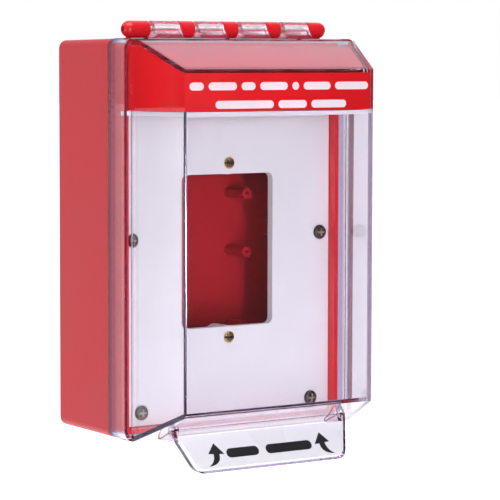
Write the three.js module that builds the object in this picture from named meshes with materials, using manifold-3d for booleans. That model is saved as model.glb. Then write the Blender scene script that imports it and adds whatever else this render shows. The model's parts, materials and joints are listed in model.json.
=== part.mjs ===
// A surface-mounted protective station for a fire call point: red back box, red frame, white
// mounting plate with a single-gang device opening, and a clear cover that lifts on a top hinge and
// carries a battery sounder in its hood.
// Millimetres. X is to the right, the front faces -Y, Z is up. The wall is the plane Y = 0, and the
// origin is the middle of the back box's wall face.
import * as THREE from 'three';
import { mergeVertices } from 'three/addons/utils/BufferGeometryUtils.js';
import Module from 'manifold-3d';

const wasm = await Module();
wasm.setup();

// ---- Driving dimensions ----
const GAP = 0.3; // left between pieces that touch
const ROUND = 24; // sides of a large round piece
const BORE = 16; // sides of a screw, a pin and the hole for one
const SMALL_BORE = 12;
const REACH = 100; // well past any face, for a shape that trims another

const BOX = { halfWidth: 66.3, halfHeight: 92.6, depth: 45.2, wall: 3, draft: 0.6, corner: 4, edge: 1 };

const PLATE = { front: -46.75, thickness: 2, halfWidth: 59, halfHeight: 88.3, corner: 3 };
const FRAME = { halfWidth: 63.8, halfHeight: 90.6, flange: 0.8, floor: 3, corner: 3.5 };
const RIM = { halfWidth: 61.5, halfHeight: 90.6, proud: 4.75, thickness: 2.2, thicknessZ: 2, corner: 3 };
const WINDOW = { halfWidth: 50, halfHeight: 77.5, corner: 6 }; // the hole through the frame

// The device opening is a little below the middle of the station.
const DEVICE = { z: -7.7, halfWidth: 25.4, halfHeight: 36.5, corner: 3, screwPitch: 83.3 };
const LIP = { depth: 4, wall: 1.5 }; // the turned-in edge of the device opening

const SKIRT = { halfWidth: 66.3, halfHeight: 92.9, back: -45.5, front: -60, wall: 2, corner: 5 };
const DOME = {
  wall: 2.6,
  front: -90.45,
  baseHalfWidth: 62.8,
  frontHalfWidth: 53.4,
  top: 92,
  roofStart: -64.4,
  frontTop: 78.7,
  baseStart: -60.8,
  frontBottom: -79.3,
};

// The tab flares forward: its front face runs from (topY, top) to (bottomY, bottom).
const TAB = {
  thickness: 3,
  top: -91,
  bottom: -106.7,
  topY: -75.87,
  bottomY: -84.88,
  halfTop: 48.8,
  halfBottom: 42.4,
  corner: 4,
};
const GUSSET = { inset: 0.2, thickness: 2.2 }; // the rib at each end of the tab

const HINGE = { y: -44.65, z: 97.1, barrel: 3.9, pin: 1.2, halfLength: 58, sides: 32 };
const KNUCKLE = { count: 4, first: -42.4, pitch: 24.8, length: 14.1, leftGap: 2.2, rightGap: 0.9, flare: 0.8 };

const HOOD = { bottom: 57.4, shelf: 2, shelfBack: -55.05 };
const FILM = 0.5; // thickness of a label
const HOUSING = {
  halfWidth: 47,
  back: -53.6,
  front: -84.6,
  bottom: 59.8,
  top: 87.6,
  roofY: -66,
  frontTop: 78.2,
  wall: 1.2,
};

// Colour, roughness and metalness of each finish.
const LOOK = {
  box: [0xa8323a, 0.5, 0],
  trim: [0xc41e24, 0.4, 0],
  white: [0xe7e4eb, 0.35, 0],
  clear: [0xd8d4e2, 0.05, 0],
  steel: [0x8a8580, 0.3, 0.9],
  brass: [0xc9a35a, 0.25, 0.9],
  bright: [0xd8d8dc, 0.2, 0.9],
  magnet: [0x9a9aa0, 0.3, 0.9],
  redFilm: [0xe41e24, 0.35, 0],
  whiteFilm: [0xf2f0f4, 0.3, 0],
  board: [0x1f6b3a, 0.5, 0],
  glass: [0xb8c8c0, 0.1, 0],
  battery: [0x2a2a2e, 0.4, 0],
  black: [0x1c1c1e, 0.4, 0],
  redLead: [0xb01818, 0.5, 0],
};

const group = new THREE.Group();

// ---- Solids ----
function solid(geometry) {
  const bare = geometry.clone();
  bare.deleteAttribute('normal');
  bare.deleteAttribute('uv');
  const merged = mergeVertices(bare, 1e-4);
  const vertProperties = new Float32Array(merged.attributes.position.array);
  const triVerts = new Uint32Array(merged.index.array);
  return new wasm.Manifold(new wasm.Mesh({ numProp: 3, vertProperties, triVerts }));
}

const join = (first, ...rest) => rest.reduce((whole, piece) => whole.add(piece), first);
const cut = (first, ...rest) => rest.reduce((whole, piece) => whole.subtract(piece), first);

// place is where a piece made at the origin goes, and turn is its rotation about Z.
function addPiece(name, body, [color, roughness, metalness], place = [0, 0, 0], turn = 0) {
  const { numProp, vertProperties, triVerts } = body.getMesh();
  const geometry = new THREE.BufferGeometry();
  const corners = Array.from({ length: vertProperties.length / numProp }, (_, i) =>
    [...vertProperties.slice(i * numProp, i * numProp + 3)]);
  geometry.setAttribute('position', new THREE.Float32BufferAttribute(corners.flat(), 3));
  geometry.setIndex([...triVerts]);
  geometry.computeVertexNormals();
  const mesh = new THREE.Mesh(geometry, new THREE.MeshStandardMaterial({ color, roughness, metalness }));
  mesh.name = name;
  mesh.position.set(...place);
  mesh.rotation.z = turn;
  group.add(mesh);
}

function block(x0, x1, y0, y1, z0, z1) {
  const geometry = new THREE.BoxGeometry(x1 - x0, y1 - y0, z1 - z0);
  geometry.translate((x0 + x1) / 2, (y0 + y1) / 2, (z0 + z1) / 2);
  return solid(geometry);
}

// A round bar along Y, from y0 to y1.
function rodY(x, z, radius, y0, y1, sides = ROUND) {
  const geometry = new THREE.CylinderGeometry(radius, radius, y1 - y0, sides);
  geometry.translate(x, (y0 + y1) / 2, z);
  return solid(geometry);
}

// A round bar along X, from x0 to x1.
function rodX(y, z, radius, x0, x1, sides = ROUND) {
  const geometry = new THREE.CylinderGeometry(radius, radius, x1 - x0, sides);
  geometry.rotateZ(Math.PI / 2);
  geometry.translate((x0 + x1) / 2, y, z);
  return solid(geometry);
}

// A round bar along Z, from z0 to z1.
function rodZ(x, y, radius, z0, z1, sides = ROUND) {
  const geometry = new THREE.CylinderGeometry(radius, radius, z1 - z0, sides);
  geometry.rotateX(Math.PI / 2);
  geometry.translate(x, y, (z0 + z1) / 2);
  return solid(geometry);
}

const polygon = (points) => new THREE.Shape(points.map(([a, b]) => new THREE.Vector2(a, b)));

function roundedRectangle(halfWidth, halfHeight, corner, middle = 0) {
  const shape = new THREE.Shape();
  const x = halfWidth - corner;
  const y = halfHeight - corner;
  shape.absarc(x, middle + y, corner, 0, Math.PI / 2);
  shape.absarc(-x, middle + y, corner, Math.PI / 2, Math.PI);
  shape.absarc(-x, middle - y, corner, Math.PI, 1.5 * Math.PI);
  shape.absarc(x, middle - y, corner, 1.5 * Math.PI, 2 * Math.PI);
  return shape;
}

const AXIS_X = new THREE.Vector3(1, 0, 0);
const AXIS_Y = new THREE.Vector3(0, 1, 0);
const AXIS_Z = new THREE.Vector3(0, 0, 1);
const TOWARDS_FRONT = new THREE.Matrix4().makeBasis(AXIS_X, AXIS_Z, AXIS_Y.clone().negate());
const TOWARDS_RIGHT = new THREE.Matrix4().makeBasis(AXIS_Y, AXIS_Z, AXIS_X);

function extruded(shape, depth, curveSegments) {
  return new THREE.ExtrudeGeometry(shape, { depth, bevelEnabled: false, curveSegments });
}

const CURVE_STEPS = 7; // steps round a corner of an outline

// A shape drawn in (x, z), extruded between two values of y.
function prismY(shape, front, back) {
  const geometry = extruded(shape, back - front, CURVE_STEPS);
  return solid(geometry.applyMatrix4(TOWARDS_FRONT).translate(0, back, 0));
}

// A shape drawn in (y, z), extruded between two values of x.
function prismX(shape, x0, x1) {
  const geometry = extruded(shape, x1 - x0, CURVE_STEPS);
  return solid(geometry.applyMatrix4(TOWARDS_RIGHT).translate(x0, 0, 0));
}

// A shape drawn in (x, y), extruded between two values of z.
function prismZ(shape, z0, z1) {
  return solid(extruded(shape, z1 - z0, CURVE_STEPS).translate(0, 0, z0));
}

// The corners of a rounded rectangle in (x, z), counterclockwise from the front.
function roundedOutline({ halfWidth, halfHeight, corner }) {
  const steps = CURVE_STEPS;
  const corners = [[1, 1], [-1, 1], [-1, -1], [1, -1]];
  return corners.flatMap(([sideX, sideZ], quarter) => Array.from({ length: steps + 1 }, (_, i) => {
    const angle = (quarter + i / steps) * Math.PI / 2;
    const x = sideX * (halfWidth - corner) + corner * Math.cos(angle);
    const z = sideZ * (halfHeight - corner) + corner * Math.sin(angle);
    return [x, z];
  }));
}

// A solid through rounded rectangles of different sizes, listed from front to back.
function loft(sections) {
  const rings = sections.map((section) => roundedOutline(section).map(([x, z]) => [x, section.y, z]));
  const count = rings[0].length;
  const last = rings.length - 1;
  const points = [...rings.flat(), [0, sections[0].y, 0], [0, sections[last].y, 0]];
  const frontMiddle = points.length - 2;
  const backMiddle = points.length - 1;
  const faces = [];
  for (let i = 0; i < count; i += 1) {
    const next = (i + 1) % count;
    for (let ring = 0; ring < last; ring += 1) {
      const here = ring * count;
      const there = here + count;
      faces.push(here + i, there + i, there + next, here + i, there + next, here + next);
    }
    faces.push(frontMiddle, i, next, backMiddle, last * count + next, last * count + i);
  }
  const geometry = new THREE.BufferGeometry();
  geometry.setAttribute('position', new THREE.Float32BufferAttribute(points.flat(), 3));
  geometry.setIndex(faces);
  return solid(geometry);
}

// A convex outline moved inwards by a distance. Its points run counterclockwise.
function inset(points, distance) {
  const edges = points.map((from, i) => {
    const to = points[(i + 1) % points.length];
    const direction = new THREE.Vector2(to[0] - from[0], to[1] - from[1]).normalize();
    const start = new THREE.Vector2(from[0] - direction.y * distance, from[1] + direction.x * distance);
    return { start, direction };
  });
  return edges.map((edge, i) => {
    const before = edges[(i + edges.length - 1) % edges.length];
    const across = edge.start.clone().sub(before.start);
    const along = across.cross(edge.direction) / before.direction.cross(edge.direction);
    return [before.start.x + before.direction.x * along, before.start.y + before.direction.y * along];
  });
}

// ---- Screws ----
// Where the six plate screws sit: two at the sides, two above and two below.
const PLATE_SCREWS = [
  ['top_left', -48.3, 82.1], ['top_right', 48.3, 82.1],
  ['middle_left', -53.5, -1], ['middle_right', 53.5, -1],
  ['bottom_left', -48.3, -82.1], ['bottom_right', 48.3, -82.1],
];
const PLATE_SCREW = { head: 3.45, headHeight: 2.2, shank: 1.7, hole: 2.1, length: 20.45 };
const DEVICE_SCREW = { head: 2.8, headHeight: 1.3, shank: 1.5, hole: 1.9, length: 9.45 };
const SEAT = 0.5; // depth of the round seat in the plate under a screw head or the magnet
const SEATED = PLATE.front + SEAT - GAP;
const DEVICE_SCREWS = [['upper', 1], ['lower', -1]]
  .map(([name, side]) => [name, DEVICE.z + side * DEVICE.screwPitch / 2]);
const MAGNET = { x: 28.5, z: 74, radius: 4, thickness: 2.5 };
const BOSS = { box: 4.2, device: 5.5, deviceEnd: -33.75, post: 2.8, postHole: 1, postEnd: -18.75 };
const POSTS = [17.3, -11.7, -48.7].flatMap((z) => [[-30, z], [30, z]]);

// A domed head on a straight shank, facing the front with its underside on the plane y = 0.
function domedScrew({ head, headHeight, shank, length }, drive) {
  const rim = 0.35 * headHeight;
  const steps = 6;
  const dome = Array.from({ length: steps }, (_, i) => {
    const angle = (i / steps) * Math.PI / 2;
    return new THREE.Vector2(head * Math.cos(angle), -rim - (headHeight - rim) * Math.sin(angle));
  });
  const profile = [
    new THREE.Vector2(0, -headHeight),
    ...dome.reverse(),
    new THREE.Vector2(head, 0),
    new THREE.Vector2(shank, 0),
    new THREE.Vector2(shank, length),
    new THREE.Vector2(0, length),
  ];
  const body = solid(new THREE.LatheGeometry(profile, ROUND));
  return cut(body, ...drive(-headHeight));
}

// A crossed recess in a head whose highest point is at y = top.
function crossDrive(top) {
  const arm = 1.9;
  const width = 0.45;
  const depth = 1.3;
  return [
    block(-arm, arm, top - 1, top + depth, -width, width),
    block(-width, width, top - 1, top + depth, -arm, arm),
  ];
}

// A straight slot, level, in a head whose highest point is at y = top.
function slotDrive(top) {
  const reach = 4;
  const halfSlot = 0.45;
  const depth = 0.75;
  return [block(-reach, reach, top - 1, top + depth, -halfSlot, halfSlot)];
}

// ---- Back box ----
const ENTRY = { z: 62, hole: 10, flange: 12, flangeThickness: 1.5 };
const WALL_HOLES = { x: 42, z: 70, radius: 2.5 };
const RAIL_SCREWS = [-44, 1.7, 44];
const RAIL = { front: -40.4, back: -33.6, thickness: 2.2, inset: 1.5, endSlope: 0.7, screwY: -37.2, screwHole: 1.4 };
const RAIL_SCREW = { head: 2.8, headHeight: 1.6, shank: 1.1, boxHole: 1.9 };
const BOSS_SETBACK = 4.1; // from the box's mouth to the end of a screw boss

function buildBackBox() {
  const mouth = { ...BOX, y: -BOX.depth };
  const edgeSteps = 4;
  const sections = [mouth];
  for (let i = 0; i <= edgeSteps; i += 1) {
    const angle = (i / edgeSteps) * Math.PI / 2;
    const shrink = BOX.draft + BOX.edge * (1 - Math.cos(angle));
    sections.push({
      halfWidth: BOX.halfWidth - shrink,
      halfHeight: BOX.halfHeight - shrink,
      corner: BOX.corner,
      y: -BOX.edge * (1 - Math.sin(angle)),
    });
  }
  const inside = (section) => ({
    halfWidth: section.halfWidth - BOX.wall,
    halfHeight: section.halfHeight - BOX.wall,
    corner: BOX.corner - BOX.wall,
  });
  const floor = { ...BOX, halfWidth: BOX.halfWidth - BOX.draft, halfHeight: BOX.halfHeight - BOX.draft };
  const cavity = loft([{ ...inside(BOX), y: -BOX.depth - 1 }, { ...inside(floor), y: -BOX.wall }]);
  let body = cut(loft(sections), cavity);

  const bossEnd = -BOX.depth + BOSS_SETBACK;
  const bossHoleEnd = SEATED + PLATE_SCREW.length + 2;
  const postHoleDepth = 8;
  PLATE_SCREWS.forEach(([, x, z]) => {
    body = join(body, rodY(x, z, BOSS.box, bossEnd, -BOX.wall + 1, BORE));
  });
  POSTS.forEach(([x, z]) => {
    body = join(body, rodY(x, z, BOSS.post, BOSS.postEnd, -BOX.wall + 1, BORE));
  });
  PLATE_SCREWS.forEach(([, x, z]) => {
    body = cut(body, rodY(x, z, PLATE_SCREW.hole, bossEnd - 1, bossHoleEnd, SMALL_BORE));
  });
  POSTS.forEach(([x, z]) => {
    body = cut(body, rodY(x, z, BOSS.postHole, BOSS.postEnd - 1, BOSS.postEnd + postHoleDepth, SMALL_BORE));
  });
  [1, -1].forEach((up) => {
    body = cut(body, rodY(0, up * ENTRY.z, ENTRY.hole, -BOX.wall - 1, 1));
    [1, -1].forEach((side) => {
      const hole = rodY(side * WALL_HOLES.x, up * WALL_HOLES.z, WALL_HOLES.radius, -BOX.wall - 1, 1, BORE);
      body = cut(body, hole);
    });
  });
  RAIL_SCREWS.forEach((x) => {
    const hole = rodZ(
      x, RAIL.screwY, RAIL_SCREW.boxHole, BOX.halfHeight - BOX.wall - 2, BOX.halfHeight + 1, BORE);
    body = cut(body, hole);
  });
  addPiece('back_box', body, LOOK.box);
}

// A plug that fills an unused conduit entry from inside the box.
function buildEntryPlug(name, z) {
  const flangeFront = -BOX.wall - GAP - ENTRY.flangeThickness;
  const plug = join(
    rodY(0, z, ENTRY.hole - GAP, flangeFront + 1, 0),
    rodY(0, z, ENTRY.flange, flangeFront, -BOX.wall - GAP),
  );
  addPiece(name, plug, LOOK.box);
}

// ---- Frame and plate ----
// The frame closes the gap between box and plate: a spigot in the box's mouth, a flange on its edge,
// and a raised rim round the plate.
function buildFrame() {
  const rimFront = PLATE.front - RIM.proud;
  const flangeFront = -BOX.depth - GAP - FRAME.flange;
  const seat = PLATE.front + PLATE.thickness + GAP;
  const back = seat + FRAME.floor;
  const flange = prismY(
    roundedRectangle(FRAME.halfWidth, FRAME.halfHeight, FRAME.corner), flangeFront, -BOX.depth - GAP);
  const rim = prismY(
    roundedRectangle(RIM.halfWidth, RIM.halfHeight, RIM.corner), rimFront, -BOX.depth - GAP);
  const slack = BOX.wall + 0.5;
  const innerCorner = 2;
  const spigot = prismY(
    roundedRectangle(BOX.halfWidth - slack, BOX.halfHeight - slack, innerCorner), -BOX.depth - 1, back);
  const recess = prismY(
    roundedRectangle(RIM.halfWidth - RIM.thickness, RIM.halfHeight - RIM.thicknessZ, innerCorner),
    rimFront - 1, seat);
  const window = prismY(
    roundedRectangle(WINDOW.halfWidth, WINDOW.halfHeight, WINDOW.corner), rimFront - 1, back + 1);
  const holes = PLATE_SCREWS.map(([, x, z]) => rodY(x, z, PLATE_SCREW.hole, rimFront, back + 1, BORE));
  const pads = PLATE_SCREWS.map(([, x, z]) => rodY(x, z, BOSS.box + 1, seat, back));
  const body = cut(join(cut(join(flange, rim, spigot), window), ...pads), recess, ...holes);
  addPiece('frame', body, LOOK.trim);
}

// The round seats in the plate's front, with the radius of what sits in each.
function plateSeats() {
  const plateScrews = PLATE_SCREWS.map(([, x, z]) => [x, z, PLATE_SCREW.head]);
  const deviceScrews = DEVICE_SCREWS.map(([, z]) => [0, z, DEVICE_SCREW.head]);
  return [...plateScrews, ...deviceScrews, [MAGNET.x, MAGNET.z, MAGNET.radius]];
}

function buildPlate() {
  const back = PLATE.front + PLATE.thickness;
  const lipEnd = PLATE.front + LIP.depth;
  const { halfWidth, halfHeight, corner, z } = DEVICE;
  const sheet = prismY(roundedRectangle(PLATE.halfWidth, PLATE.halfHeight, PLATE.corner), PLATE.front, back);
  const lip = prismY(
    roundedRectangle(halfWidth + LIP.wall, halfHeight + LIP.wall, corner + LIP.wall, z), PLATE.front, lipEnd);
  const opening = prismY(roundedRectangle(halfWidth, halfHeight, corner, z), PLATE.front - 1, lipEnd + 1);
  const bosses = DEVICE_SCREWS.map(([, screwZ]) =>
    rodY(0, screwZ, BOSS.device, PLATE.front + 1, BOSS.deviceEnd));
  const deviceHoles = DEVICE_SCREWS.map(([, screwZ]) =>
    rodY(0, screwZ, DEVICE_SCREW.hole, PLATE.front - 1, SEATED + DEVICE_SCREW.length + 1, BORE));
  const holes = PLATE_SCREWS.map(([, x, screwZ]) =>
    rodY(x, screwZ, PLATE_SCREW.hole, PLATE.front - 1, back + 1, BORE));
  const seats = plateSeats().map(([x, seatZ, radius]) =>
    rodY(x, seatZ, radius + GAP, PLATE.front - 1, PLATE.front + SEAT));
  const body = join(cut(join(sheet, lip), opening), ...bosses);
  addPiece('mounting_plate', cut(body, ...deviceHoles, ...holes, ...seats), LOOK.white);
}

// ---- Hinge ----
const knuckleStart = (i) => KNUCKLE.first + i * KNUCKLE.pitch;
const knuckleEnd = (i) => knuckleStart(i) + KNUCKLE.length;

// The stretches of X that the rail's barrels fill, between the cover's.
function railBarrels() {
  return Array.from({ length: KNUCKLE.count + 1 }, (_, i) => [
    i === 0 ? -HINGE.halfLength : knuckleEnd(i - 1) + KNUCKLE.rightGap,
    i === KNUCKLE.count ? HINGE.halfLength : knuckleStart(i) - KNUCKLE.leftGap,
  ]);
}

// The end of a barrel as half a ball, flattened to the barrel's bore.
function domeEnd(x, side) {
  const ball = new THREE.SphereGeometry(HINGE.barrel, HINGE.sides, HINGE.sides / 2);
  ball.rotateZ(Math.PI / 2);
  ball.translate(x - side * HINGE.barrel, HINGE.y, HINGE.z);
  return solid(ball);
}

function buildRail() {
  const base = BOX.halfHeight + GAP;
  const top = base + RAIL.thickness;
  const footFront = HINGE.y + 0.2;
  const frontHalf = HINGE.halfLength - RAIL.inset;
  const backHalf = frontHalf - (RAIL.back - footFront) * RAIL.endSlope;
  const strip = block(-frontHalf, frontHalf, RAIL.front, RAIL.back, base, top);
  const plan = prismZ(polygon([
    [-frontHalf, footFront - 1],
    [frontHalf, footFront - 1],
    [backHalf, RAIL.back],
    [-backHalf, RAIL.back],
  ]), base - 1, BOX.halfHeight + REACH);
  const footTop = HINGE.z + HINGE.barrel / 2;
  const foot = (x0, x1) => prismX(
    polygon([
      [footFront, base],
      [RAIL.back, base],
      [RAIL.back, top],
      [HINGE.y + HINGE.barrel - 0.5, footTop],
      [footFront, footTop],
    ]), x0, x1);
  const ends = railBarrels();
  const feet = ends.map(([x0, x1]) => foot(x0, x1));
  const barrels = ends.map(([x0, x1], i) => {
    const from = i === 0 ? x0 + HINGE.barrel : x0;
    const to = i === ends.length - 1 ? x1 - HINGE.barrel : x1;
    return rodX(HINGE.y, HINGE.z, HINGE.barrel, from, to, HINGE.sides);
  });
  const bore = rodX(HINGE.y, HINGE.z, HINGE.pin + GAP, -HINGE.halfLength - 1, HINGE.halfLength + 1, BORE);
  const screwHoles = RAIL_SCREWS.map((x) =>
    rodZ(x, RAIL.screwY, RAIL.screwHole, base - 1, top + 1, SMALL_BORE));
  const footing = join(strip, ...feet).intersect(plan);
  const body = join(footing, ...barrels, domeEnd(-HINGE.halfLength, -1), domeEnd(HINGE.halfLength, 1));
  addPiece('hinge_rail', cut(body, bore, ...screwHoles), LOOK.trim);
}

function buildPin() {
  const halfPin = HINGE.halfLength - 1.5;
  addPiece('hinge_pin', rodX(HINGE.y, HINGE.z, HINGE.pin, -halfPin, halfPin, BORE), LOOK.bright);
}

// A small slotted screw up through the box's top into the rail's strip.
function buildRailScrew(name, x) {
  const underside = BOX.halfHeight - BOX.wall - GAP;
  const tip = BOX.halfHeight + GAP + RAIL.thickness - 0.2;
  const headEnd = underside - RAIL_SCREW.headHeight;
  const halfSlot = 0.4;
  const body = join(
    rodZ(x, RAIL.screwY, RAIL_SCREW.head, headEnd, underside),
    rodZ(x, RAIL.screwY, RAIL_SCREW.shank, underside - 0.5, tip, SMALL_BORE),
  );
  const slot = block(
    x - 4, x + 4, RAIL.screwY - halfSlot, RAIL.screwY + halfSlot, headEnd - 1, headEnd + 0.6);
  addPiece(name, cut(body, slot), LOOK.steel);
}

// ---- Clear cover ----
const DOME_BACK = -50; // inside the skirt, which it joins
const domeSide = [
  [DOME_BACK, -SKIRT.halfHeight],
  [DOME_BACK, DOME.top],
  [DOME.roofStart, DOME.top],
  [DOME.front, DOME.frontTop],
  [DOME.front, DOME.frontBottom],
  [DOME.baseStart, -SKIRT.halfHeight],
];
const domePlan = [
  [DOME.baseHalfWidth, DOME_BACK],
  [-DOME.baseHalfWidth, DOME_BACK],
  [-DOME.baseHalfWidth, SKIRT.front],
  [-DOME.frontHalfWidth, DOME.front],
  [DOME.frontHalfWidth, DOME.front],
  [DOME.baseHalfWidth, SKIRT.front],
];

// The dome's shape, moved inwards by a distance: its side view and its plan, intersected.
function domeShape(distance) {
  const fromSide = prismX(polygon(inset(domeSide, distance)), -REACH, REACH);
  const fromAbove = prismZ(polygon(inset(domePlan, distance)), -REACH, REACH);
  return fromSide.intersect(fromAbove);
}

// The tab's slanting sheet, between two depths below its front face.
function tabSheet(near, far, top, bottom) {
  const slope = new THREE.Vector2(TAB.bottomY - TAB.topY, TAB.bottom - TAB.top).normalize();
  const down = (z) => (z - TAB.top) / slope.y;
  const at = (z, depth) => {
    const along = down(z);
    return [TAB.topY + slope.x * along - slope.y * depth, TAB.top + slope.y * along + slope.x * depth];
  };
  return polygon([at(top, near), at(bottom, near), at(bottom, far), at(top, far)]);
}

// The tab's outline from the front: it narrows downwards and has round lower corners.
function tabOutline(margin, corner) {
  const taper = (TAB.halfTop - TAB.halfBottom) / (TAB.top - TAB.bottom);
  const top = TAB.top + 7;
  const bottom = TAB.bottom + margin;
  const halfAt = (z) => TAB.halfBottom + taper * (z - TAB.bottom) - margin;
  const shape = new THREE.Shape();
  shape.moveTo(-halfAt(top), top);
  shape.lineTo(-halfAt(bottom + corner), bottom + corner);
  shape.quadraticCurveTo(-halfAt(bottom), bottom, -halfAt(bottom) + corner, bottom);
  shape.lineTo(halfAt(bottom) - corner, bottom);
  shape.quadraticCurveTo(halfAt(bottom), bottom, halfAt(bottom + corner), bottom + corner);
  shape.lineTo(halfAt(top), top);
  return shape;
}

// A barrel of the cover's hinge on its web, which is wider at its foot.
function coverKnuckle(i) {
  const start = knuckleStart(i);
  const end = knuckleEnd(i);
  const top = SKIRT.halfHeight;
  const webDepth = 6;
  const web = prismX(
    polygon([
      [SKIRT.back, top - 1],
      [SKIRT.back - webDepth, top - 1],
      [SKIRT.back - webDepth, top + 0.1],
      [HINGE.y - HINGE.barrel + 0.05, HINGE.z],
      [SKIRT.back, HINGE.z],
    ]), start - 2, end + 2);
  const front = polygon([
    [start - KNUCKLE.flare, top - 2],
    [end + KNUCKLE.flare, top - 2],
    [end, HINGE.z + 1],
    [start, HINGE.z + 1],
  ]);
  const barrel = rodX(HINGE.y, HINGE.z, HINGE.barrel, start, end, HINGE.sides);
  return join(barrel, web.intersect(prismY(front, -60, -40)));
}

// The skirt is an open tray round the dome's back edge.
function skirtShape(distance, front, back) {
  const { halfWidth, halfHeight, corner } = SKIRT;
  return prismY(
    roundedRectangle(halfWidth - distance, halfHeight - distance, corner - distance), front, back);
}

function tabShape() {
  const sheet = prismX(tabSheet(0, TAB.thickness, TAB.top + 5.2, TAB.bottom - 4), -REACH, REACH);
  return sheet.intersect(prismY(tabOutline(0, TAB.corner), -REACH, DOME.baseStart));
}

// The rib at one end of the tab, between the tab, the base and the skirt.
function gussetShape(side) {
  const outline = polygon([
    [DOME.baseStart, -SKIRT.halfHeight],
    [TAB.topY + 1, -SKIRT.halfHeight - 0.3],
    [TAB.topY + 1, TAB.top + 5],
    [DOME.baseStart - 1.5, -SKIRT.halfHeight + 2],
  ]);
  const outer = side * (TAB.halfTop - GUSSET.inset);
  const inner = outer - side * GUSSET.thickness;
  return prismX(outline, Math.min(outer, inner), Math.max(outer, inner));
}

function buildCover() {
  const skirt = skirtShape(0, SKIRT.front, SKIRT.back);
  const skirtHollow = skirtShape(SKIRT.wall, SKIRT.front + SKIRT.wall, SKIRT.back + 1);
  const knuckles = Array.from({ length: KNUCKLE.count }, (_, i) => coverKnuckle(i));
  const bore = rodX(HINGE.y, HINGE.z, HINGE.pin + GAP, -HINGE.halfLength, HINGE.halfLength, BORE);
  const outside = join(skirt, domeShape(0), tabShape(), gussetShape(-1), gussetShape(1), ...knuckles);
  addPiece('clear_cover', cut(outside, skirtHollow, domeShape(DOME.wall), bore), LOOK.clear);
}

// The header sheet lines the dome's two sides and its front, above the shelf.
function buildHeaderLabel() {
  const near = DOME.wall + GAP;
  const bottom = HOOD.bottom + HOOD.shelf + GAP;
  const fromAbove = (distance) => prismZ(polygon(inset(domePlan, distance)), bottom, REACH);
  const walls = cut(fromAbove(near), fromAbove(near + FILM));
  const underRoof = prismX(polygon(inset(domeSide, near)), -REACH, REACH);
  const ahead = block(-REACH, REACH, -REACH, DOME_BACK - near - 2 * FILM, bottom, REACH);
  addPiece('header_label', walls.intersect(underRoof).intersect(ahead), LOOK.redFilm);
}

// The shelf reaches back through the dome's mouth, where a tongue fills the skirt's width.
function buildShelf() {
  const { bottom, shelf, shelfBack } = HOOD;
  const top = bottom + shelf;
  const innerHalf = DOME.baseHalfWidth - DOME.wall - GAP;
  const skirtHalf = SKIRT.halfWidth - SKIRT.wall - GAP;
  const slab = domeShape(DOME.wall + GAP)
    .intersect(block(-REACH, REACH, DOME.front, SKIRT.front + 1, bottom, top));
  const bridge = block(-innerHalf, innerHalf, SKIRT.front, shelfBack, bottom, top);
  const tongue = block(-skirtHalf, skirtHalf, SKIRT.front + SKIRT.wall + GAP, shelfBack, bottom, top);
  addPiece('hood_shelf', cut(join(slab, bridge, tongue), ...soundSlots()), LOOK.white);
}

// ---- Sounder in the hood ----
const PIEZO = { x: 28.5, y: -68, radius: 11, port: 1.5 };
const BOARD = { x0: 15.5, x1: 41.5, y0: -81, y1: -55.5, z: 72.2, thickness: 1.6, post: 1.2, postInset: 1.4 };
const CHIP = { x0: 20, x1: 28, y0: -74, y1: -69, height: 1.8 };
const CAPACITOR = { x: 35, y: -73, radius: 2.6, height: 5 };
const BATTERY = { x0: -41.3, x1: 7.2, y0: -80.7, y1: -54.2, z0: 61.4, z1: 78.3, corner: 2 };
const TERMINAL = { offset: 6.35, radius: 2.9, height: 2.6 };
const SNAP = { depth: 5, inset: 1.5, socket: 3 };
const LID = { thickness: 1.5, corner: 1 };
const LID_SCREWS = [['left', -43.8], ['right', 43.8]];
const LID_SCREW = { z: 65, head: 2.4, headHeight: 1.4, shank: 1, length: 6.5, boss: 2, bossDepth: 8 };
const SLOTS = { count: 5, pitch: 4, halfLength: 7, halfWidth: 0.9 };
const REED = { radius: 1.3, x0: 21.5, x1: 35.5, leadX0: 19, leadX1: 38, lead: 0.4, lift: 1.8 };
const LEAD = 0.6; // radius of a battery lead

// Slots that let the sound out, through the shelf and the housing's floor.
function soundSlots() {
  return Array.from({ length: SLOTS.count }, (_, i) => {
    const x = PIEZO.x + (i - (SLOTS.count - 1) / 2) * SLOTS.pitch;
    return block(
      x - SLOTS.halfWidth, x + SLOTS.halfWidth, PIEZO.y - SLOTS.halfLength, PIEZO.y + SLOTS.halfLength,
      HOOD.bottom - 1, HOUSING.bottom + HOUSING.wall + 1);
  });
}

function housingProfile(distance) {
  const { back, front, bottom, top, roofY, frontTop } = HOUSING;
  return polygon(inset([
    [back, bottom], [back, top], [roofY, top], [front, frontTop], [front, bottom],
  ], distance));
}

// A boss for a lid screw, tied to the housing's side by a rib.
function lidScrewBoss(x) {
  const { back, halfWidth } = HOUSING;
  const front = back - LID_SCREW.bossDepth;
  const side = Math.sign(x) * (halfWidth - 0.5);
  const round = rodY(x, LID_SCREW.z, LID_SCREW.boss, front, back, BORE);
  const rib = block(
    Math.min(x, side), Math.max(x, side), front, back, LID_SCREW.z - 1, LID_SCREW.z + 1);
  return cut(join(round, rib), rodY(x, LID_SCREW.z, LID_SCREW.shank + GAP, front + 1, back + 1, SMALL_BORE));
}

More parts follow.
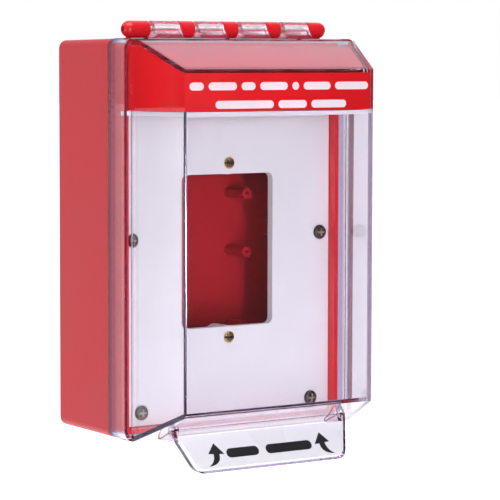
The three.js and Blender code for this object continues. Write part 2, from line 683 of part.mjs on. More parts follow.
function buildHousing() {
  const { wall, halfWidth, back, bottom, top } = HOUSING;
  const innerHalf = halfWidth - wall;
  const shell = prismX(housingProfile(0), -halfWidth, halfWidth);
  const hollow = prismX(housingProfile(wall), -innerHalf, innerHalf);
  const mouth = block(-innerHalf, innerHalf, back - wall - 1, back + 1, bottom + wall, top - wall);
  const postXs = [BOARD.x0 + BOARD.postInset, BOARD.x1 - BOARD.postInset];
  const postYs = [BOARD.y0 + BOARD.postInset, BOARD.y1 - BOARD.postInset];
  const boardPosts = postXs.flatMap((x) => postYs.map((y) =>
    rodZ(x, y, BOARD.post, bottom + 0.5, BOARD.z - GAP, SMALL_BORE)));
  const bosses = LID_SCREWS.map(([, x]) => lidScrewBoss(x));
  const body = join(cut(shell, hollow, mouth), ...boardPosts, ...bosses, housingWing(-1), housingWing(1));
  addPiece('sounder_housing', cut(body, ...soundSlots()), LOOK.trim);
}

// A hollow wing on one side of the housing, open at the back, that fills the hood out to its film.
function housingWing(side) {
  const { wall, halfWidth, back, bottom, top } = HOUSING;
  const clearance = DOME.wall + 2 * GAP + FILM;
  const between = (from, to) => [Math.min(side * from, side * to), Math.max(side * from, side * to)];
  const hoodPlan = (distance) => prismZ(polygon(inset(domePlan, clearance + distance)), 0, REACH);
  const shell = prismX(housingProfile(0), ...between(halfWidth - wall / 2, REACH)).intersect(hoodPlan(0));
  const hollow = prismX(housingProfile(wall), ...between(halfWidth, REACH)).intersect(hoodPlan(wall));
  const mouthEnd = DOME.baseHalfWidth - clearance - 2 * wall;
  const mouth = block(...between(halfWidth, mouthEnd), back - 2 * wall, back + 1, bottom + wall, top - wall);
  return cut(shell, hollow, mouth);
}

const LID_FRONT = HOUSING.back + GAP;
const LID_BACK = LID_FRONT + LID.thickness;

function buildLid() {
  const { halfWidth, bottom, top } = HOUSING;
  const outline = roundedRectangle(halfWidth, (top - bottom) / 2, LID.corner, (top + bottom) / 2);
  const holes = LID_SCREWS.map(([, x]) =>
    rodY(x, LID_SCREW.z, LID_SCREW.shank + GAP, LID_FRONT - 1, LID_BACK + 1, SMALL_BORE));
  addPiece('sounder_lid', cut(prismY(outline, LID_FRONT, LID_BACK), ...holes), LOOK.trim);
}

function buildBoard() {
  const { x0, x1, y0, y1, z, thickness } = BOARD;
  const top = z + thickness;
  const sunk = top - 0.2;
  const chip = block(CHIP.x0, CHIP.x1, CHIP.y0, CHIP.y1, sunk, top + CHIP.height);
  const capacitor = rodZ(CAPACITOR.x, CAPACITOR.y, CAPACITOR.radius, sunk, top + CAPACITOR.height);
  addPiece('circuit_board', join(block(x0, x1, y0, y1, z, top), chip, capacitor), LOOK.board);
}

function buildPiezo() {
  const bottom = HOUSING.bottom + HOUSING.wall + GAP;
  const can = rodZ(PIEZO.x, PIEZO.y, PIEZO.radius, bottom, BOARD.z - GAP, HINGE.sides);
  const port = rodZ(PIEZO.x, PIEZO.y, PIEZO.port, bottom - 1, bottom + 3, SMALL_BORE);
  addPiece('piezo_sounder', cut(can, port), LOOK.black);
}

function buildReedSwitch() {
  const top = BOARD.z + BOARD.thickness;
  const y = BOARD.y1 - 2.2;
  const z = top + REED.lift;
  const tube = rodX(y, z, REED.radius, REED.x0, REED.x1, BORE);
  const leads = rodX(y, z, REED.lead, REED.leadX0, REED.leadX1, SMALL_BORE);
  const legs = [REED.leadX0, REED.leadX1 - 2 * REED.lead].map((x) =>
    block(x, x + 2 * REED.lead, y - REED.lead, y + REED.lead, top + GAP, z + 0.3));
  addPiece('reed_switch', join(tube, leads, ...legs), LOOK.glass);
}

// The magnet sits in a round seat in the plate, in front of the reed switch when the cover is shut.
function buildMagnet() {
  const { x, z, radius, thickness } = MAGNET;
  addPiece('trigger_magnet', rodY(x, z, radius, SEATED - thickness, SEATED, HINGE.sides), LOOK.magnet);
}

const batteryMiddle = () => [(BATTERY.y0 + BATTERY.y1) / 2, (BATTERY.z0 + BATTERY.z1) / 2];

function terminalRods(radius, x0, x1) {
  const [y, z] = batteryMiddle();
  return [-1, 1].map((side) => rodX(y + side * TERMINAL.offset, z, radius, x0, x1, BORE));
}

// A 9 V block battery, lying down, with its terminals to the right.
function buildBattery() {
  const { x0, x1, y0, y1, z0, z1, corner } = BATTERY;
  const [y, z] = batteryMiddle();
  const section = roundedRectangle((y1 - y0) / 2, (z1 - z0) / 2, corner);
  const body = prismX(section, x0, x1);
  const terminals = [-1, 1].map((side) =>
    rodX(side * TERMINAL.offset, 0, TERMINAL.radius, x1 - 0.5, x1 + TERMINAL.height, BORE));
  addPiece('battery', join(body, ...terminals), LOOK.battery, [0, y, z]);
}

// A clip with two round sockets over the battery's terminals.
function buildBatterySnap() {
  const { x1, y0, y1, z0, z1 } = BATTERY;
  const { depth, inset: edge, socket } = SNAP;
  const pad = block(x1 + GAP, x1 + depth, y0 + edge, y1 - edge, z0 + edge, z1 - edge);
  addPiece('battery_snap', cut(pad, ...terminalRods(TERMINAL.radius + GAP, x1, x1 + socket)), LOOK.black);
}

// A lead rises from the clip, bends over and comes down to the board.
function buildLead(name, y, look) {
  const start = BATTERY.x1 + SNAP.depth + GAP;
  const boardTop = BOARD.z + BOARD.thickness + GAP;
  const route = new THREE.CatmullRomCurve3([
    [start, y, 73], [start + 1.3, y, 73.4], [start + 2, y, 75.5],
    [start + 3.6, y, 77.3], [start + 5.4, y, 76.4], [start + 5.8, y, boardTop],
  ].map((point) => new THREE.Vector3(...point)));
  const section = new THREE.Shape();
  section.absarc(0, 0, LEAD, 0, 2 * Math.PI);
  const tube = new THREE.ExtrudeGeometry(section, { steps: 16, extrudePath: route, curveSegments: 5 });
  addPiece(name, solid(tube), look);
}

// ---- Lift label ----
function buildLiftLabel() {
  const sheet = prismX(tabSheet(-GAP - FILM, -GAP, TAB.top + 0.4, TAB.bottom - 4), -REACH, REACH);
  const outline = prismY(tabOutline(2, TAB.corner - 1), -REACH, DOME.baseStart);
  addPiece('lift_label', sheet.intersect(outline), LOOK.whiteFilm);
}

buildBackBox();
buildEntryPlug('entry_plug_upper', ENTRY.z);
buildEntryPlug('entry_plug_lower', -ENTRY.z);
buildFrame();
buildPlate();
PLATE_SCREWS.forEach(([place, x, z]) => {
  addPiece(`plate_screw_${place}`, domedScrew(PLATE_SCREW, crossDrive), LOOK.steel, [x, SEATED, z]);
});
DEVICE_SCREWS.forEach(([place, z]) => {
  addPiece(`device_screw_${place}`, domedScrew(DEVICE_SCREW, slotDrive), LOOK.brass, [0, SEATED, z]);
});
buildRail();
buildPin();
RAIL_SCREWS.forEach((x, i) => buildRailScrew(`rail_screw_${i + 1}`, x));
buildMagnet();
buildCover();
buildHeaderLabel();
buildShelf();
buildLiftLabel();
buildHousing();
buildLid();
// A lid screw is turned round, to face the wall.
LID_SCREWS.forEach(([side, x]) => {
  const place = [x, LID_BACK + GAP, LID_SCREW.z];
  addPiece(`lid_screw_${side}`, domedScrew(LID_SCREW, crossDrive), LOOK.steel, place, Math.PI);
});
buildBoard();
buildPiezo();
buildReedSwitch();
buildBattery();
buildBatterySnap();
buildLead('battery_lead_red', -66, LOOK.redLead);
buildLead('battery_lead_black', -70, LOOK.black);

export default group;
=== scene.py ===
"""A red protective station for a fire call point, with a clear lift-up cover and a sounder in its hood.

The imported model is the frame. Each of its nodes is redrawn here as a finer piece in the same place,
with rounded edges and a procedural material. Only the header film is spread a little, into the
cover's wall, and the two labels gain their prints. Metres; X is right, the front faces -Y, Z is up.
"""
import json
import math

import bmesh
import bpy
from mathutils import Matrix, Vector


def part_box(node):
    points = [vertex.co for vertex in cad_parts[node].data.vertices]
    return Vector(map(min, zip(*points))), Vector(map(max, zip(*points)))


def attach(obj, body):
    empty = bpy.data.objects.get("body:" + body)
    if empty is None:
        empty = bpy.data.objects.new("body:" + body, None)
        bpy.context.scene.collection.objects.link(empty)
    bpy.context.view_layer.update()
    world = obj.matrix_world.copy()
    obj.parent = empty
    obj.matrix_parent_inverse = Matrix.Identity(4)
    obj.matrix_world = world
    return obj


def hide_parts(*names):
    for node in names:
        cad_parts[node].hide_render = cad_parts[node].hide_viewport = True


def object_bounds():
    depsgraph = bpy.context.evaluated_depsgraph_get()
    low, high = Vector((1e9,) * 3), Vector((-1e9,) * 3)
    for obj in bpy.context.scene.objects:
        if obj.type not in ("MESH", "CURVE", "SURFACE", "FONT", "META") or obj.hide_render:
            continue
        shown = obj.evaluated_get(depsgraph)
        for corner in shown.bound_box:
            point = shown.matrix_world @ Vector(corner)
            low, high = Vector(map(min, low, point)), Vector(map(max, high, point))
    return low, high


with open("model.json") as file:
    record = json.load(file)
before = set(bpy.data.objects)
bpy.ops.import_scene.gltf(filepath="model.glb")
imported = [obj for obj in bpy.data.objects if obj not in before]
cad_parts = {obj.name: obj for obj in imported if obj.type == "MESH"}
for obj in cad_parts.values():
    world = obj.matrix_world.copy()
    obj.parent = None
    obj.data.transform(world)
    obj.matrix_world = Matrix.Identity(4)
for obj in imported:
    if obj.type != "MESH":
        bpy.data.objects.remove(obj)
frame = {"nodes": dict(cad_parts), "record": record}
cad_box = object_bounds()
NODES = frame["nodes"]
BODY_OF = {
    node: body
    for body, members in frame["record"]["behaviour"]["bodies"].items()
    for node in members
}
MM = 0.001

# ---- Camera ----
CAMERA_AZIMUTH = -35.0
CAMERA_ELEVATION = 4.46
CAMERA_ROLL = 0.12
CAMERA_DISTANCE = 1.2079
CAMERA_LENS = 182.13
SENSOR = 36.0
AIM = Vector((8.72, -52.86, -7.68)) * MM


def direction(azimuth, elevation):
    """The direction from the object towards a viewer. Azimuth 0 is straight in front."""
    a = math.radians(azimuth)
    e = math.radians(elevation)
    return Vector((math.sin(a) * math.cos(e), -math.cos(a) * math.cos(e), math.sin(e)))


def add_camera():
    camera = bpy.data.objects.new("camera", bpy.data.cameras.new("camera"))
    bpy.context.scene.collection.objects.link(camera)
    back = direction(CAMERA_AZIMUTH, CAMERA_ELEVATION)
    level = (-back).to_track_quat("-Z", "Y").to_matrix().to_4x4()
    roll = Matrix.Rotation(math.radians(CAMERA_ROLL), 4, "Z")
    camera.matrix_world = Matrix.Translation(AIM + back * CAMERA_DISTANCE) @ level @ roll
    camera.data.sensor_width = SENSOR
    camera.data.lens = CAMERA_LENS
    camera.data.clip_start = 0.05
    bpy.context.scene.camera = camera


# ---- Studio ----
FLOOR_DROP = 0.30  # the station hangs on a wall, so the floor is well below it
FLOOR_REACH = 20.0
FLOOR_FRONT = -0.4  # it stops short in front, so that the clear cover doesn't mirror it
# The studio goes from dim in front to white behind, by how far back a ray points.
FRONT_WALL, BACK_WALL = 0.38, 0.7  # where the dim part ends, and where the white begins
CEILING = 0.5  # how much a ray's rise counts as pointing back
FRONT_LIGHT, BACK_LIGHT = 0.10, 0.95
LIGHT_BOUNCES = 64  # a clear edge stays black until light has bounced along inside it many times
FLOOR_GLOW = 0.9
LIGHTS = [  # name, azimuth, elevation, distance, size, watts, tint
    ("key", -18, -3, 2.4, (0.25, 1.0), 25.5, (1, 1, 1)),
    ("left_panel", -75, 8, 1.8, (0.9, 1.4), 2.6, (1, 1, 1)),
    ("top_panel", -20, 72, 1.8, (2.0, 1.3), 34, (0.96, 0.95, 1)),
]


def add_area_light(name, azimuth, elevation, distance, size, power, tint):
    data = bpy.data.lights.new(name, "AREA")
    data.shape = "RECTANGLE"
    data.size, data.size_y = size
    data.energy = power
    data.color = tint
    light = bpy.data.objects.new(name, data)
    towards = direction(azimuth, elevation)
    light.location = AIM + towards * distance
    light.rotation_mode = "QUATERNION"
    light.rotation_quaternion = towards.to_track_quat("Z", "Y")
    bpy.context.scene.collection.objects.link(light)


def add_floor():
    height = cad_box[0].z - FLOOR_DROP
    mesh = bpy.data.meshes.new("floor")
    corners = [
        (-FLOOR_REACH, FLOOR_FRONT),
        (FLOOR_REACH, FLOOR_FRONT),
        (FLOOR_REACH, FLOOR_REACH),
        (-FLOOR_REACH, FLOOR_REACH),
    ]
    mesh.from_pydata([(x, y, height) for x, y in corners], [], [(0, 1, 2, 3)])
    floor = bpy.data.objects.new("floor", mesh)
    bpy.context.scene.collection.objects.link(floor)
    material, _, _, shader = new_material("floor_white")
    shader.inputs["Base Color"].default_value = (0.8, 0.8, 0.8, 1)
    shader.inputs["Roughness"].default_value = 0.9
    shader.inputs["Emission Color"].default_value = (1, 1, 1, 1)
    shader.inputs["Emission Strength"].default_value = FLOOR_GLOW
    mesh.materials.append(material)


def add_world():
    """A studio that is white behind the station and dim in front of it. The backdrop itself is white."""
    world = bpy.data.worlds.new("studio")
    bpy.context.scene.world = world
    world.use_nodes = True
    nodes = world.node_tree.nodes
    links = world.node_tree.links
    towards = nodes.new("ShaderNodeTexCoord")
    axes = nodes.new("ShaderNodeSeparateXYZ")
    links.new(towards.outputs["Generated"], axes.inputs["Vector"])
    depth = nodes.new("ShaderNodeMapRange")
    depth.inputs["From Min"].default_value = FRONT_WALL
    depth.inputs["From Max"].default_value = BACK_WALL
    depth.inputs["To Min"].default_value = FRONT_LIGHT
    depth.inputs["To Max"].default_value = BACK_LIGHT
    rise = nodes.new("ShaderNodeMath")
    rise.operation = "MULTIPLY_ADD"
    rise.inputs[1].default_value = CEILING
    links.new(axes.outputs["Z"], rise.inputs[0])
    links.new(axes.outputs["Y"], rise.inputs[2])
    links.new(rise.outputs["Value"], depth.inputs["Value"])
    fill = nodes["Background"]
    fill.inputs["Color"].default_value = (0.95, 0.95, 1, 1)
    links.new(depth.outputs["Result"], fill.inputs["Strength"])
    backdrop = nodes.new("ShaderNodeBackground")
    backdrop.inputs["Color"].default_value = (1, 1, 1, 1)
    path = nodes.new("ShaderNodeLightPath")
    mix = nodes.new("ShaderNodeMixShader")
    links.new(path.outputs["Is Camera Ray"], mix.inputs["Fac"])
    links.new(fill.outputs["Background"], mix.inputs[1])
    links.new(backdrop.outputs["Background"], mix.inputs[2])
    links.new(mix.outputs["Shader"], nodes["World Output"].inputs["Surface"])


def add_studio():
    scene = bpy.context.scene
    scene.view_settings.view_transform = "Standard"
    scene.cycles.max_bounces = LIGHT_BOUNCES
    scene.cycles.transmission_bounces = LIGHT_BOUNCES
    scene.cycles.glossy_bounces = LIGHT_BOUNCES
    scene.cycles.transparent_max_bounces = LIGHT_BOUNCES
    add_world()
    add_floor()
    for light in LIGHTS:
        add_area_light(*light)


# ---- Materials ----
def new_material(name):
    material = bpy.data.materials.new(name)
    material.use_nodes = True
    nodes = material.node_tree.nodes
    return material, nodes, material.node_tree.links, nodes["Principled BSDF"]


def noise(nodes, links, scale, detail=2.0, stretch=(1, 1, 1)):
    """Noise fixed to the piece, with so many cells to the metre."""
    place = nodes.new("ShaderNodeTexCoord")
    mapping = nodes.new("ShaderNodeMapping")
    mapping.inputs["Scale"].default_value = stretch
    texture = nodes.new("ShaderNodeTexNoise")
    texture.inputs["Scale"].default_value = scale
    texture.inputs["Detail"].default_value = detail
    links.new(place.outputs["Object"], mapping.inputs["Vector"])
    links.new(mapping.outputs["Vector"], texture.inputs["Vector"])
    return texture.outputs["Fac"]


def ramp(nodes, links, factor, low, high, start=0.3, end=0.7):
    """A colour that runs from low to high as the factor does from start to end."""
    node = nodes.new("ShaderNodeValToRGB")
    node.color_ramp.elements[0].position = start
    node.color_ramp.elements[0].color = (*low, 1)
    node.color_ramp.elements[1].position = end
    node.color_ramp.elements[1].color = (*high, 1)
    links.new(factor, node.inputs["Fac"])
    return node.outputs["Color"]


def span(nodes, links, factor, low, high):
    """A number that runs from low to high as the factor does from 0.3 to 0.7."""
    node = nodes.new("ShaderNodeMapRange")
    node.inputs["From Min"].default_value = 0.3
    node.inputs["From Max"].default_value = 0.7
    node.inputs["To Min"].default_value = low
    node.inputs["To Max"].default_value = high
    links.new(factor, node.inputs["Value"])
    return node.outputs["Result"]


def bump(nodes, links, height, depth, strength=1.0, under=None):
    """A bump so deep, in millimetres, over an earlier one if given."""
    node = nodes.new("ShaderNodeBump")
    node.inputs["Distance"].default_value = depth * MM
    node.inputs["Strength"].default_value = strength
    links.new(height, node.inputs["Height"])
    if under is not None:
        links.new(under, node.inputs["Normal"])
    return node.outputs["Normal"]


def shade(color, factor):
    return tuple(min(1.0, channel * factor) for channel in color)


WAVE_DEPTH = 0.03  # the unevenness of a moulded wall, in millimetres


def moulded(name, color, roughness, grain=1600, grain_depth=0.012, spread=0.05, specular=0.5):
    """Moulded plastic: a fine grain, a slight unevenness of the wall and of its gloss."""
    material, nodes, links, shader = new_material(name)
    fine = noise(nodes, links, grain, 3)
    broad = noise(nodes, links, 22, 2)
    links.new(
        ramp(nodes, links, broad, shade(color, 1 - spread), shade(color, 1 + spread)),
        shader.inputs["Base Color"],
    )
    links.new(span(nodes, links, broad, roughness - 0.04, roughness + 0.05), shader.inputs["Roughness"])
    wall = bump(nodes, links, broad, WAVE_DEPTH)
    links.new(bump(nodes, links, fine, grain_depth, under=wall), shader.inputs["Normal"])
    shader.inputs["Specular IOR Level"].default_value = specular
    return material


def metal(name, color, roughness, turned=0.0):
    """Plated metal: fine scratches, and turning rings of that depth in millimetres about its Y axis."""
    material, nodes, links, shader = new_material(name)
    shader.inputs["Metallic"].default_value = 1.0
    scratches = noise(nodes, links, 900, 4, (1, 1, 0.15))
    stain = noise(nodes, links, 260, 2)
    links.new(ramp(nodes, links, stain, shade(color, 0.72), shade(color, 1.1)), shader.inputs["Base Color"])
    links.new(span(nodes, links, scratches, roughness - 0.08, roughness + 0.12), shader.inputs["Roughness"])
    normal = bump(nodes, links, scratches, 0.01)
    if turned:
        rings = nodes.new("ShaderNodeTexWave")
        rings.wave_type = "RINGS"
        rings.rings_direction = "Y"
        rings.inputs["Scale"].default_value = 900
        place = nodes.new("ShaderNodeTexCoord")
        links.new(place.outputs["Object"], rings.inputs["Vector"])
        normal = bump(nodes, links, rings.outputs["Fac"], turned, under=normal)
    links.new(normal, shader.inputs["Normal"])
    return material


def clear_plastic(name, tint, haze, grain, grain_depth):
    """Clear polycarbonate that lets the lamps light what is behind it. Haze is its roughness."""
    material, nodes, links, shader = new_material(name)
    nodes.remove(shader)
    glass = nodes.new("ShaderNodeBsdfGlass")
    glass.inputs["IOR"].default_value = 1.58
    flow = noise(nodes, links, 60, 2)
    links.new(ramp(nodes, links, flow, shade(tint, 0.985), tint), glass.inputs["Color"])
    ripple = noise(nodes, links, grain, 1)
    links.new(bump(nodes, links, ripple, grain_depth), glass.inputs["Normal"])
    links.new(span(nodes, links, noise(nodes, links, 120, 3), haze, haze + 0.02), glass.inputs["Roughness"])
    through = nodes.new("ShaderNodeBsdfTransparent")
    through.inputs["Color"].default_value = (0.93, 0.925, 0.95, 1)
    path = nodes.new("ShaderNodeLightPath")
    mix = nodes.new("ShaderNodeMixShader")
    links.new(path.outputs["Is Shadow Ray"], mix.inputs["Fac"])
    links.new(glass.outputs["BSDF"], mix.inputs[1])
    links.new(through.outputs["BSDF"], mix.inputs[2])
    links.new(mix.outputs["Shader"], nodes["Material Output"].inputs["Surface"])
    return material


def glass_tube(name):
    """The reed switch's greenish glass."""
    material, nodes, links, shader = new_material(name)
    tint = noise(nodes, links, 400, 2)
    links.new(ramp(nodes, links, tint, (0.45, 0.6, 0.52), (0.6, 0.75, 0.68)), shader.inputs["Base Color"])
    links.new(span(nodes, links, tint, 0.04, 0.1), shader.inputs["Roughness"])
    shader.inputs["Transmission Weight"].default_value = 0.7
    shader.inputs["IOR"].default_value = 1.5
    return material


def board_green(name):
    """Solder mask over copper tracks, drawn as the joints of a brick pattern."""
    material, nodes, links, shader = new_material(name)
    place = nodes.new("ShaderNodeTexCoord")
    tracks = nodes.new("ShaderNodeTexBrick")
    tracks.inputs["Scale"].default_value = 160
    tracks.inputs["Color1"].default_value = (0.012, 0.13, 0.05, 1)
    tracks.inputs["Color2"].default_value = (0.016, 0.16, 0.06, 1)
    tracks.inputs["Mortar"].default_value = (0.05, 0.3, 0.12, 1)
    tracks.inputs["Mortar Size"].default_value = 0.06
    links.new(place.outputs["Object"], tracks.inputs["Vector"])
    links.new(tracks.outputs["Color"], shader.inputs["Base Color"])
    links.new(bump(nodes, links, tracks.outputs["Fac"], 0.03), shader.inputs["Normal"])
    links.new(span(nodes, links, noise(nodes, links, 700), 0.25, 0.45), shader.inputs["Roughness"])
    return material


def make_materials():
    return {
        "box": moulded(
            "box_red_moulded", (0.50, 0.014, 0.022), 0.42, grain=1500, grain_depth=0.02, specular=0.3
        ),
        "trim": moulded("trim_red_gloss", (0.66, 0.012, 0.020), 0.22, grain_depth=0.004),
        "hinge": moulded("hinge_red_gloss", (0.74, 0.012, 0.020), 0.25, grain_depth=0.006),
        "plate": moulded("plate_white_moulded", (0.80, 0.79, 0.80), 0.35, grain_depth=0.01, spread=0.012),
        # painted highlight: the shelf's white stands in for the light that a clear moulded rib in the hood
        # catches
        "shelf": moulded("shelf_white_painted_highlight", (0.88, 0.86, 0.90), 0.2, grain_depth=0.004, spread=0.01),
        "clear": clear_plastic("cover_clear", (0.92, 0.908, 0.938), 0.0, 30, 0.02),
        # painted shade: a darker, purpler glass for the cover's rear rim, standing in for the dark band seen
        # along it
        "rim": clear_plastic("cover_rim_painted_shade", (0.70, 0.66, 0.78), 0.06, 300, 0.03),
        "knuckle": clear_plastic("cover_knuckle_cloudy", (0.99, 0.97, 0.985), 0.22, 500, 0.25),
        "label_red": moulded(
            "label_red_film", (0.70, 0.007, 0.011), 0.5, grain_depth=0.003, spread=0.02, specular=0.1
        ),
        "label_white": moulded("label_white_film", (0.84, 0.83, 0.86), 0.3, grain_depth=0.003, spread=0.01),
        "print_white": moulded("print_white_ink", (0.9, 0.88, 0.9), 0.45, grain_depth=0.004, spread=0.03),
        "print_black": moulded("print_black_ink", (0.012, 0.012, 0.014), 0.4, grain_depth=0.004, spread=0.2),
        "steel": metal("screw_plated_steel", (0.12, 0.10, 0.095), 0.28, turned=0.003),
        "brass": metal("screw_brass", (0.86, 0.60, 0.26), 0.2, turned=0.003),
        # painted highlight: a light colour for the plate screws' recess, standing in for the light its edges
        # catch
        "recess_painted_highlight": metal("screw_recess_painted_highlight", (0.62, 0.54, 0.45), 0.4),
        # painted shade: a near-black metal for the brass screws' slot, darkening the recess
        "recess_painted_shade": metal("screw_recess_painted_shade", (0.035, 0.03, 0.025), 0.5),
        "pin": metal("pin_bright_steel", (0.96, 0.95, 0.97), 0.4),
        "magnet": metal("magnet_nickel", (0.62, 0.62, 0.66), 0.24),
        "housing": moulded("housing_red_moulded", (0.50, 0.014, 0.022), 0.42, grain=1400, grain_depth=0.02),
        "board": board_green("board_solder_mask"),
        "black": moulded("black_moulded", (0.018, 0.018, 0.02), 0.38, spread=0.2),
        "battery": moulded("battery_wrap", (0.03, 0.03, 0.034), 0.28, spread=0.25),
        "reed": glass_tube("reed_glass"),
        "lead_red": moulded("lead_red_pvc", (0.45, 0.01, 0.012), 0.4, grain=2500),
    }


# ---- Pieces ----
def finished(piece, material, body):
    piece.data.materials.clear()
    piece.data.materials.append(material)
    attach(piece, body)
    return piece


def link_mesh(name, bm):
    mesh = bpy.data.meshes.new(name)
    bm.to_mesh(mesh)
    bm.free()
    piece = bpy.data.objects.new(name, mesh)
    bpy.context.scene.collection.objects.link(piece)
    return piece


def anywhere(point):
    return True


WELD = 2e-6  # corners closer than this are one
FLAT = 0.6  # faces that meet at less than this many degrees are one flat face


def refined(node, round_off=0.4, segments=3, sharp=38, where=anywhere, split_at=None):
    """A node's mesh with its flat faces whole and its sharp edges rounded off, in millimetres.
    Only edges whose middle passes the where test are rounded. Faces are divided along Y = split_at."""
    source = NODES[node].data
    bm = bmesh.new()
    corners = [bm.verts.new(v.co) for v in source.vertices]
    for polygon in source.polygons:
        bm.faces.new([corners[i] for i in polygon.vertices])
    bmesh.ops.remove_doubles(bm, verts=bm.verts, dist=WELD)
    bmesh.ops.dissolve_limit(bm, angle_limit=math.radians(FLAT), verts=bm.verts, edges=bm.edges)
    if split_at is not None:
        whole = bm.verts[:] + bm.edges[:] + bm.faces[:]
        bmesh.ops.bisect_plane(bm, geom=whole, plane_co=(0, split_at, 0), plane_no=(0, 1, 0))
    weight = bm.edges.layers.float.new("bevel_weight_edge")
    for face in bm.faces:
        face.smooth = True
    for edge in bm.edges:
        turned = len(edge.link_faces) == 2 and edge.calc_face_angle() > math.radians(sharp)
        edge.smooth = not turned
        middle = (edge.verts[0].co + edge.verts[1].co) / 2
        if turned and where(middle):
            edge[weight] = 1.0
            edge.smooth = True
    piece = link_mesh(node + "_fine", bm)
    if round_off:
        bevel = piece.modifiers.new("rounded edges", "BEVEL")
        bevel.limit_method = "WEIGHT"
        bevel.width = round_off * MM
        bevel.segments = segments
        bevel.use_clamp_overlap = True
    normals = piece.modifiers.new("flat faces stay flat", "WEIGHTED_NORMAL")
    normals.keep_sharp = True
    normals.weight = 100
    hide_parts(node)
    return piece


def add_box_and_plate(materials):
    finished(refined("back_box", 0.8), materials["box"], "base")
    for end in ("upper", "lower"):
        finished(refined(f"entry_plug_{end}", 0.3), materials["box"], "base")
    finished(refined("frame", 0.35), materials["trim"], "base")
    finished(refined("mounting_plate", 0.4), materials["plate"], "base")
    finished(refined("trigger_magnet", 0.3), materials["magnet"], "base")


RECESS_WALL = 2.0  # how deep the walls of a screw's drive recess go, in millimetres
RECESS_FLOOR = 0.6  # its floor is deeper than this
RECESS_REACH = 0.62  # how far out it reaches, as a part of the head's radius


def finish_recess(screw, node, material):
    """Gives the walls and floor of the drive recess in a screw's front their own material, with painted
    light in it: a painted highlight or a painted shade.
    """
    low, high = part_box(node)
    middle = (low + high) / 2
    head_radius = (high.x - low.x) / 2
    screw.data.materials.append(material)
    for face in screw.data.polygons:
        across = math.hypot(face.center.x - middle.x, face.center.z - middle.z)
        depth = face.center.y - low.y
        wall = abs(face.normal.y) < 0.1 and depth < RECESS_WALL * MM
        floor = face.normal.y < -0.95 and depth > RECESS_FLOOR * MM
        if across < RECESS_REACH * head_radius and (wall or floor):
            face.material_index = 1


def add_screws(materials):
    for node in sorted(NODES):
        if node.startswith(("plate_screw", "rail_screw", "lid_screw")):
            screw = finished(refined(node, 0.12), materials["steel"], BODY_OF[node])
            if node.startswith("plate_screw"):
                # the recess walls and floor get a light colour: a painted highlight
                finish_recess(screw, node, materials["recess_painted_highlight"])
        if node.startswith("device_screw"):
            screw = finished(refined(node, 0.12), materials["brass"], BODY_OF[node])
            # the slot's walls and floor get a near-black metal: painted shade
            finish_recess(screw, node, materials["recess_painted_shade"])


def add_hinge(materials):
    finished(refined("hinge_rail", 0.3), materials["hinge"], "base")
    finished(refined("hinge_pin", 0.2), materials["pin"], "base")


PRESSED = 1.3  # how far the header film is spread into the clear wall, in mm, so that no air shows between
KNUCKLE_RISE = 1.0  # what the cover has more than this above the box's top is hinge knuckle, in mm


def pressed_on_wall(piece, node):
    """Spreads a piece sideways and forwards from its back edge, into the dome's wall."""
    low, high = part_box(node)
    wider = 1 + PRESSED * MM / high.x
    deeper = 1 + PRESSED * MM / (high.y - low.y)
    for vertex in piece.data.vertices:
        vertex.co.x *= wider
        vertex.co.y = high.y + (vertex.co.y - high.y) * deeper


def add_cover(materials):
    box_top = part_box("back_box")[1].z
    knuckle_bottom = box_top + KNUCKLE_RISE * MM
    rim_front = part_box("frame")[0].y
    cover = refined("clear_cover", 0.7, 4, where=lambda point: point.z < box_top, split_at=rim_front)
    finished(cover, materials["clear"], "cover")
    # the faces behind the frame's front take the rim glass, whose darker tint is painted shade
    cover.data.materials.append(materials["rim"])
    cover.data.materials.append(materials["knuckle"])
    for face in cover.data.polygons:
        if face.center.z > knuckle_bottom:
            face.material_index = 2
        elif face.center.y > rim_front:
            face.material_index = 1
    # the hood shelf is white: a painted highlight
    finished(refined("hood_shelf", 0.3), materials["shelf"], "cover")
    label = finished(refined("header_label", 0), materials["label_red"], "cover")
    pressed_on_wall(label, "header_label")
    finished(refined("lift_label", 0.1, 2), materials["label_white"], "cover")


# ---- Prints ----
# Bars stand in for the words. Millimetres along and up the label.
INK = 0.04
HEADER_ROWS = [  # middle height, left end, right end, the words' relative lengths
    (71.0, -50.4, 50.9, (2, 4, 2, 4, 1, 4, 5)),
    (62.6, -36.2, 38.0, (8, 4, 5)),
]
HEADER_BAR = 3.6
WORD_GAP = 2.6
TAB_TOP = -91.0  # the level that heights on the tab are measured from, down its slope
TAB_WORDS = [(-24.3, -6), (-2, 24.6)]
TAB_BAR_MIDDLE = -9.2
TAB_BAR = 4.6
ARROW_TIPS = [(-1, -29.9), (1, 30.8)]
ARROW_TOP = -3.6


def bar_outline(left, right, middle, height, steps=8):
    """A bar with half-round ends."""
    radius = height / 2
    points = []
    for centre, start in ((right - radius, -90), (left + radius, 90)):
        for i in range(steps + 1):
            angle = math.radians(start + 180 * i / steps)
            points.append((centre + radius * math.cos(angle), middle + radius * math.sin(angle)))
    return points


def word_bars(middle, left, right, lengths):
    """A row of bars from left to right, in proportion to the words' lengths."""
    unit = (right - left - WORD_GAP * (len(lengths) - 1)) / sum(lengths)
    bars = []
    for length in lengths:
        bars.append(bar_outline(left, left + unit * length, middle, HEADER_BAR))
        left += unit * length + WORD_GAP
    return bars


def curve(start, bend, end, steps=8):
    """A curve from start to end, pulled towards bend, without its last point."""
    points = []
    for i in range(steps):
        t = i / steps
        points.append(tuple(
            (1 - t) ** 2 * a + 2 * t * (1 - t) * b + t ** 2 * c for a, b, c in zip(start, bend, end)
        ))
    return points


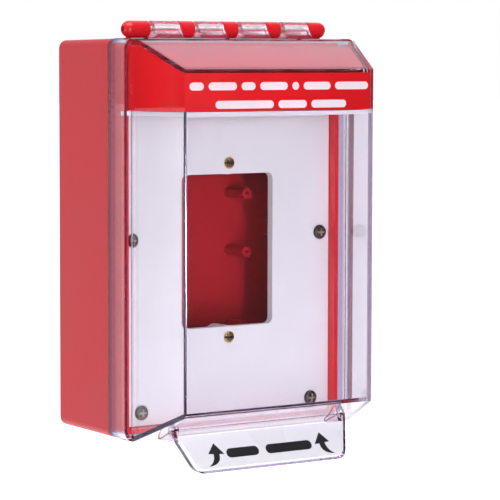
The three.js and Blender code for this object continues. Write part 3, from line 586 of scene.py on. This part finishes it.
def arrow_outline(side, tip):
    """An arrow that curves up from a pointed tail, which is on that side of its tip."""
    tail = (5.9, -11.2)
    outer_neck = (1.6, -5.3)
    inner_neck = (-1.6, -5.5)
    outline = [(0, 0), (-4.4, -5.8)]
    outline += curve(inner_neck, (-1.7, -10.9), tail)
    outline += curve(tail, (1.9, -9.6), outer_neck)
    outline += [outer_neck, (4.4, -5.0)]
    return [(tip + side * x, ARROW_TOP + y) for x, y in outline]


def printed(name, outlines, origin, along, up):
    """Thin raised ink in the shape of the outlines, on the plane through origin."""
    outwards = along.cross(up)
    bm = bmesh.new()
    for outline in outlines:
        flat = [origin + along * (x * MM) + up * (y * MM) for x, y in outline]
        front = [bm.verts.new(point + outwards * (INK * MM)) for point in flat]
        back = [bm.verts.new(point - outwards * (INK * MM)) for point in flat]
        bm.faces.new(front)
        bm.faces.new(list(reversed(back)))
        for i in range(len(flat)):
            j = (i + 1) % len(flat)
            bm.faces.new((front[i], back[i], back[j], front[j]))
    bmesh.ops.recalc_face_normals(bm, faces=bm.faces)
    return link_mesh(name, bm)


def add_prints(materials):
    header_front = Vector((0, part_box("header_label")[0].y - PRESSED * MM, 0))
    right = Vector((1, 0, 0))
    rows = [bar for row in HEADER_ROWS for bar in word_bars(*row)]
    header = printed("header_print", rows, header_front, right, Vector((0, 0, 1)))
    finished(header, materials["print_white"], "cover")

    sheet = max(NODES["lift_label"].data.polygons, key=lambda face: (face.area, -face.normal.y))
    front = Vector((0, sheet.normal.y, sheet.normal.z)).normalized()
    if front.y > 0:
        front = -front
    up = front.cross(right)
    foremost = max(NODES["lift_label"].data.vertices, key=lambda vertex: vertex.co.dot(front)).co
    origin = Vector((0, foremost.y, foremost.z))
    origin += up * ((TAB_TOP * MM - origin.z) / up.z)
    words = [bar_outline(left, end, TAB_BAR_MIDDLE, TAB_BAR) for left, end in TAB_WORDS]
    arrows = [arrow_outline(side, tip) for side, tip in ARROW_TIPS]
    lift = printed("lift_print", words + arrows, origin, right, up)
    finished(lift, materials["print_black"], "cover")


def add_sounder(materials):
    finishes = {
        "sounder_housing": (0.5, "housing", "trim_red"),
        "sounder_lid": (0.4, "housing", "trim_red"),
        "circuit_board": (0.15, "board", "board_green"),
        "piezo_sounder": (0.5, "black", "black_plastic"),
        "reed_switch": (0.1, "reed", "reed_tube"),
        "battery": (0.3, "battery", "battery_case"),
        "battery_snap": (0.4, "black", "black_plastic"),
        "battery_lead_red": (0, "lead_red", "lead_red"),
        "battery_lead_black": (0, "black", "black_plastic"),
    }
    for node, (round_off, material, slot) in finishes.items():
        finished(refined(node, round_off), materials[material], "cover")


add_camera()
add_studio()
materials = make_materials()
for add_pieces in (add_box_and_plate, add_screws, add_hinge, add_cover, add_prints, add_sounder):
    add_pieces(materials)
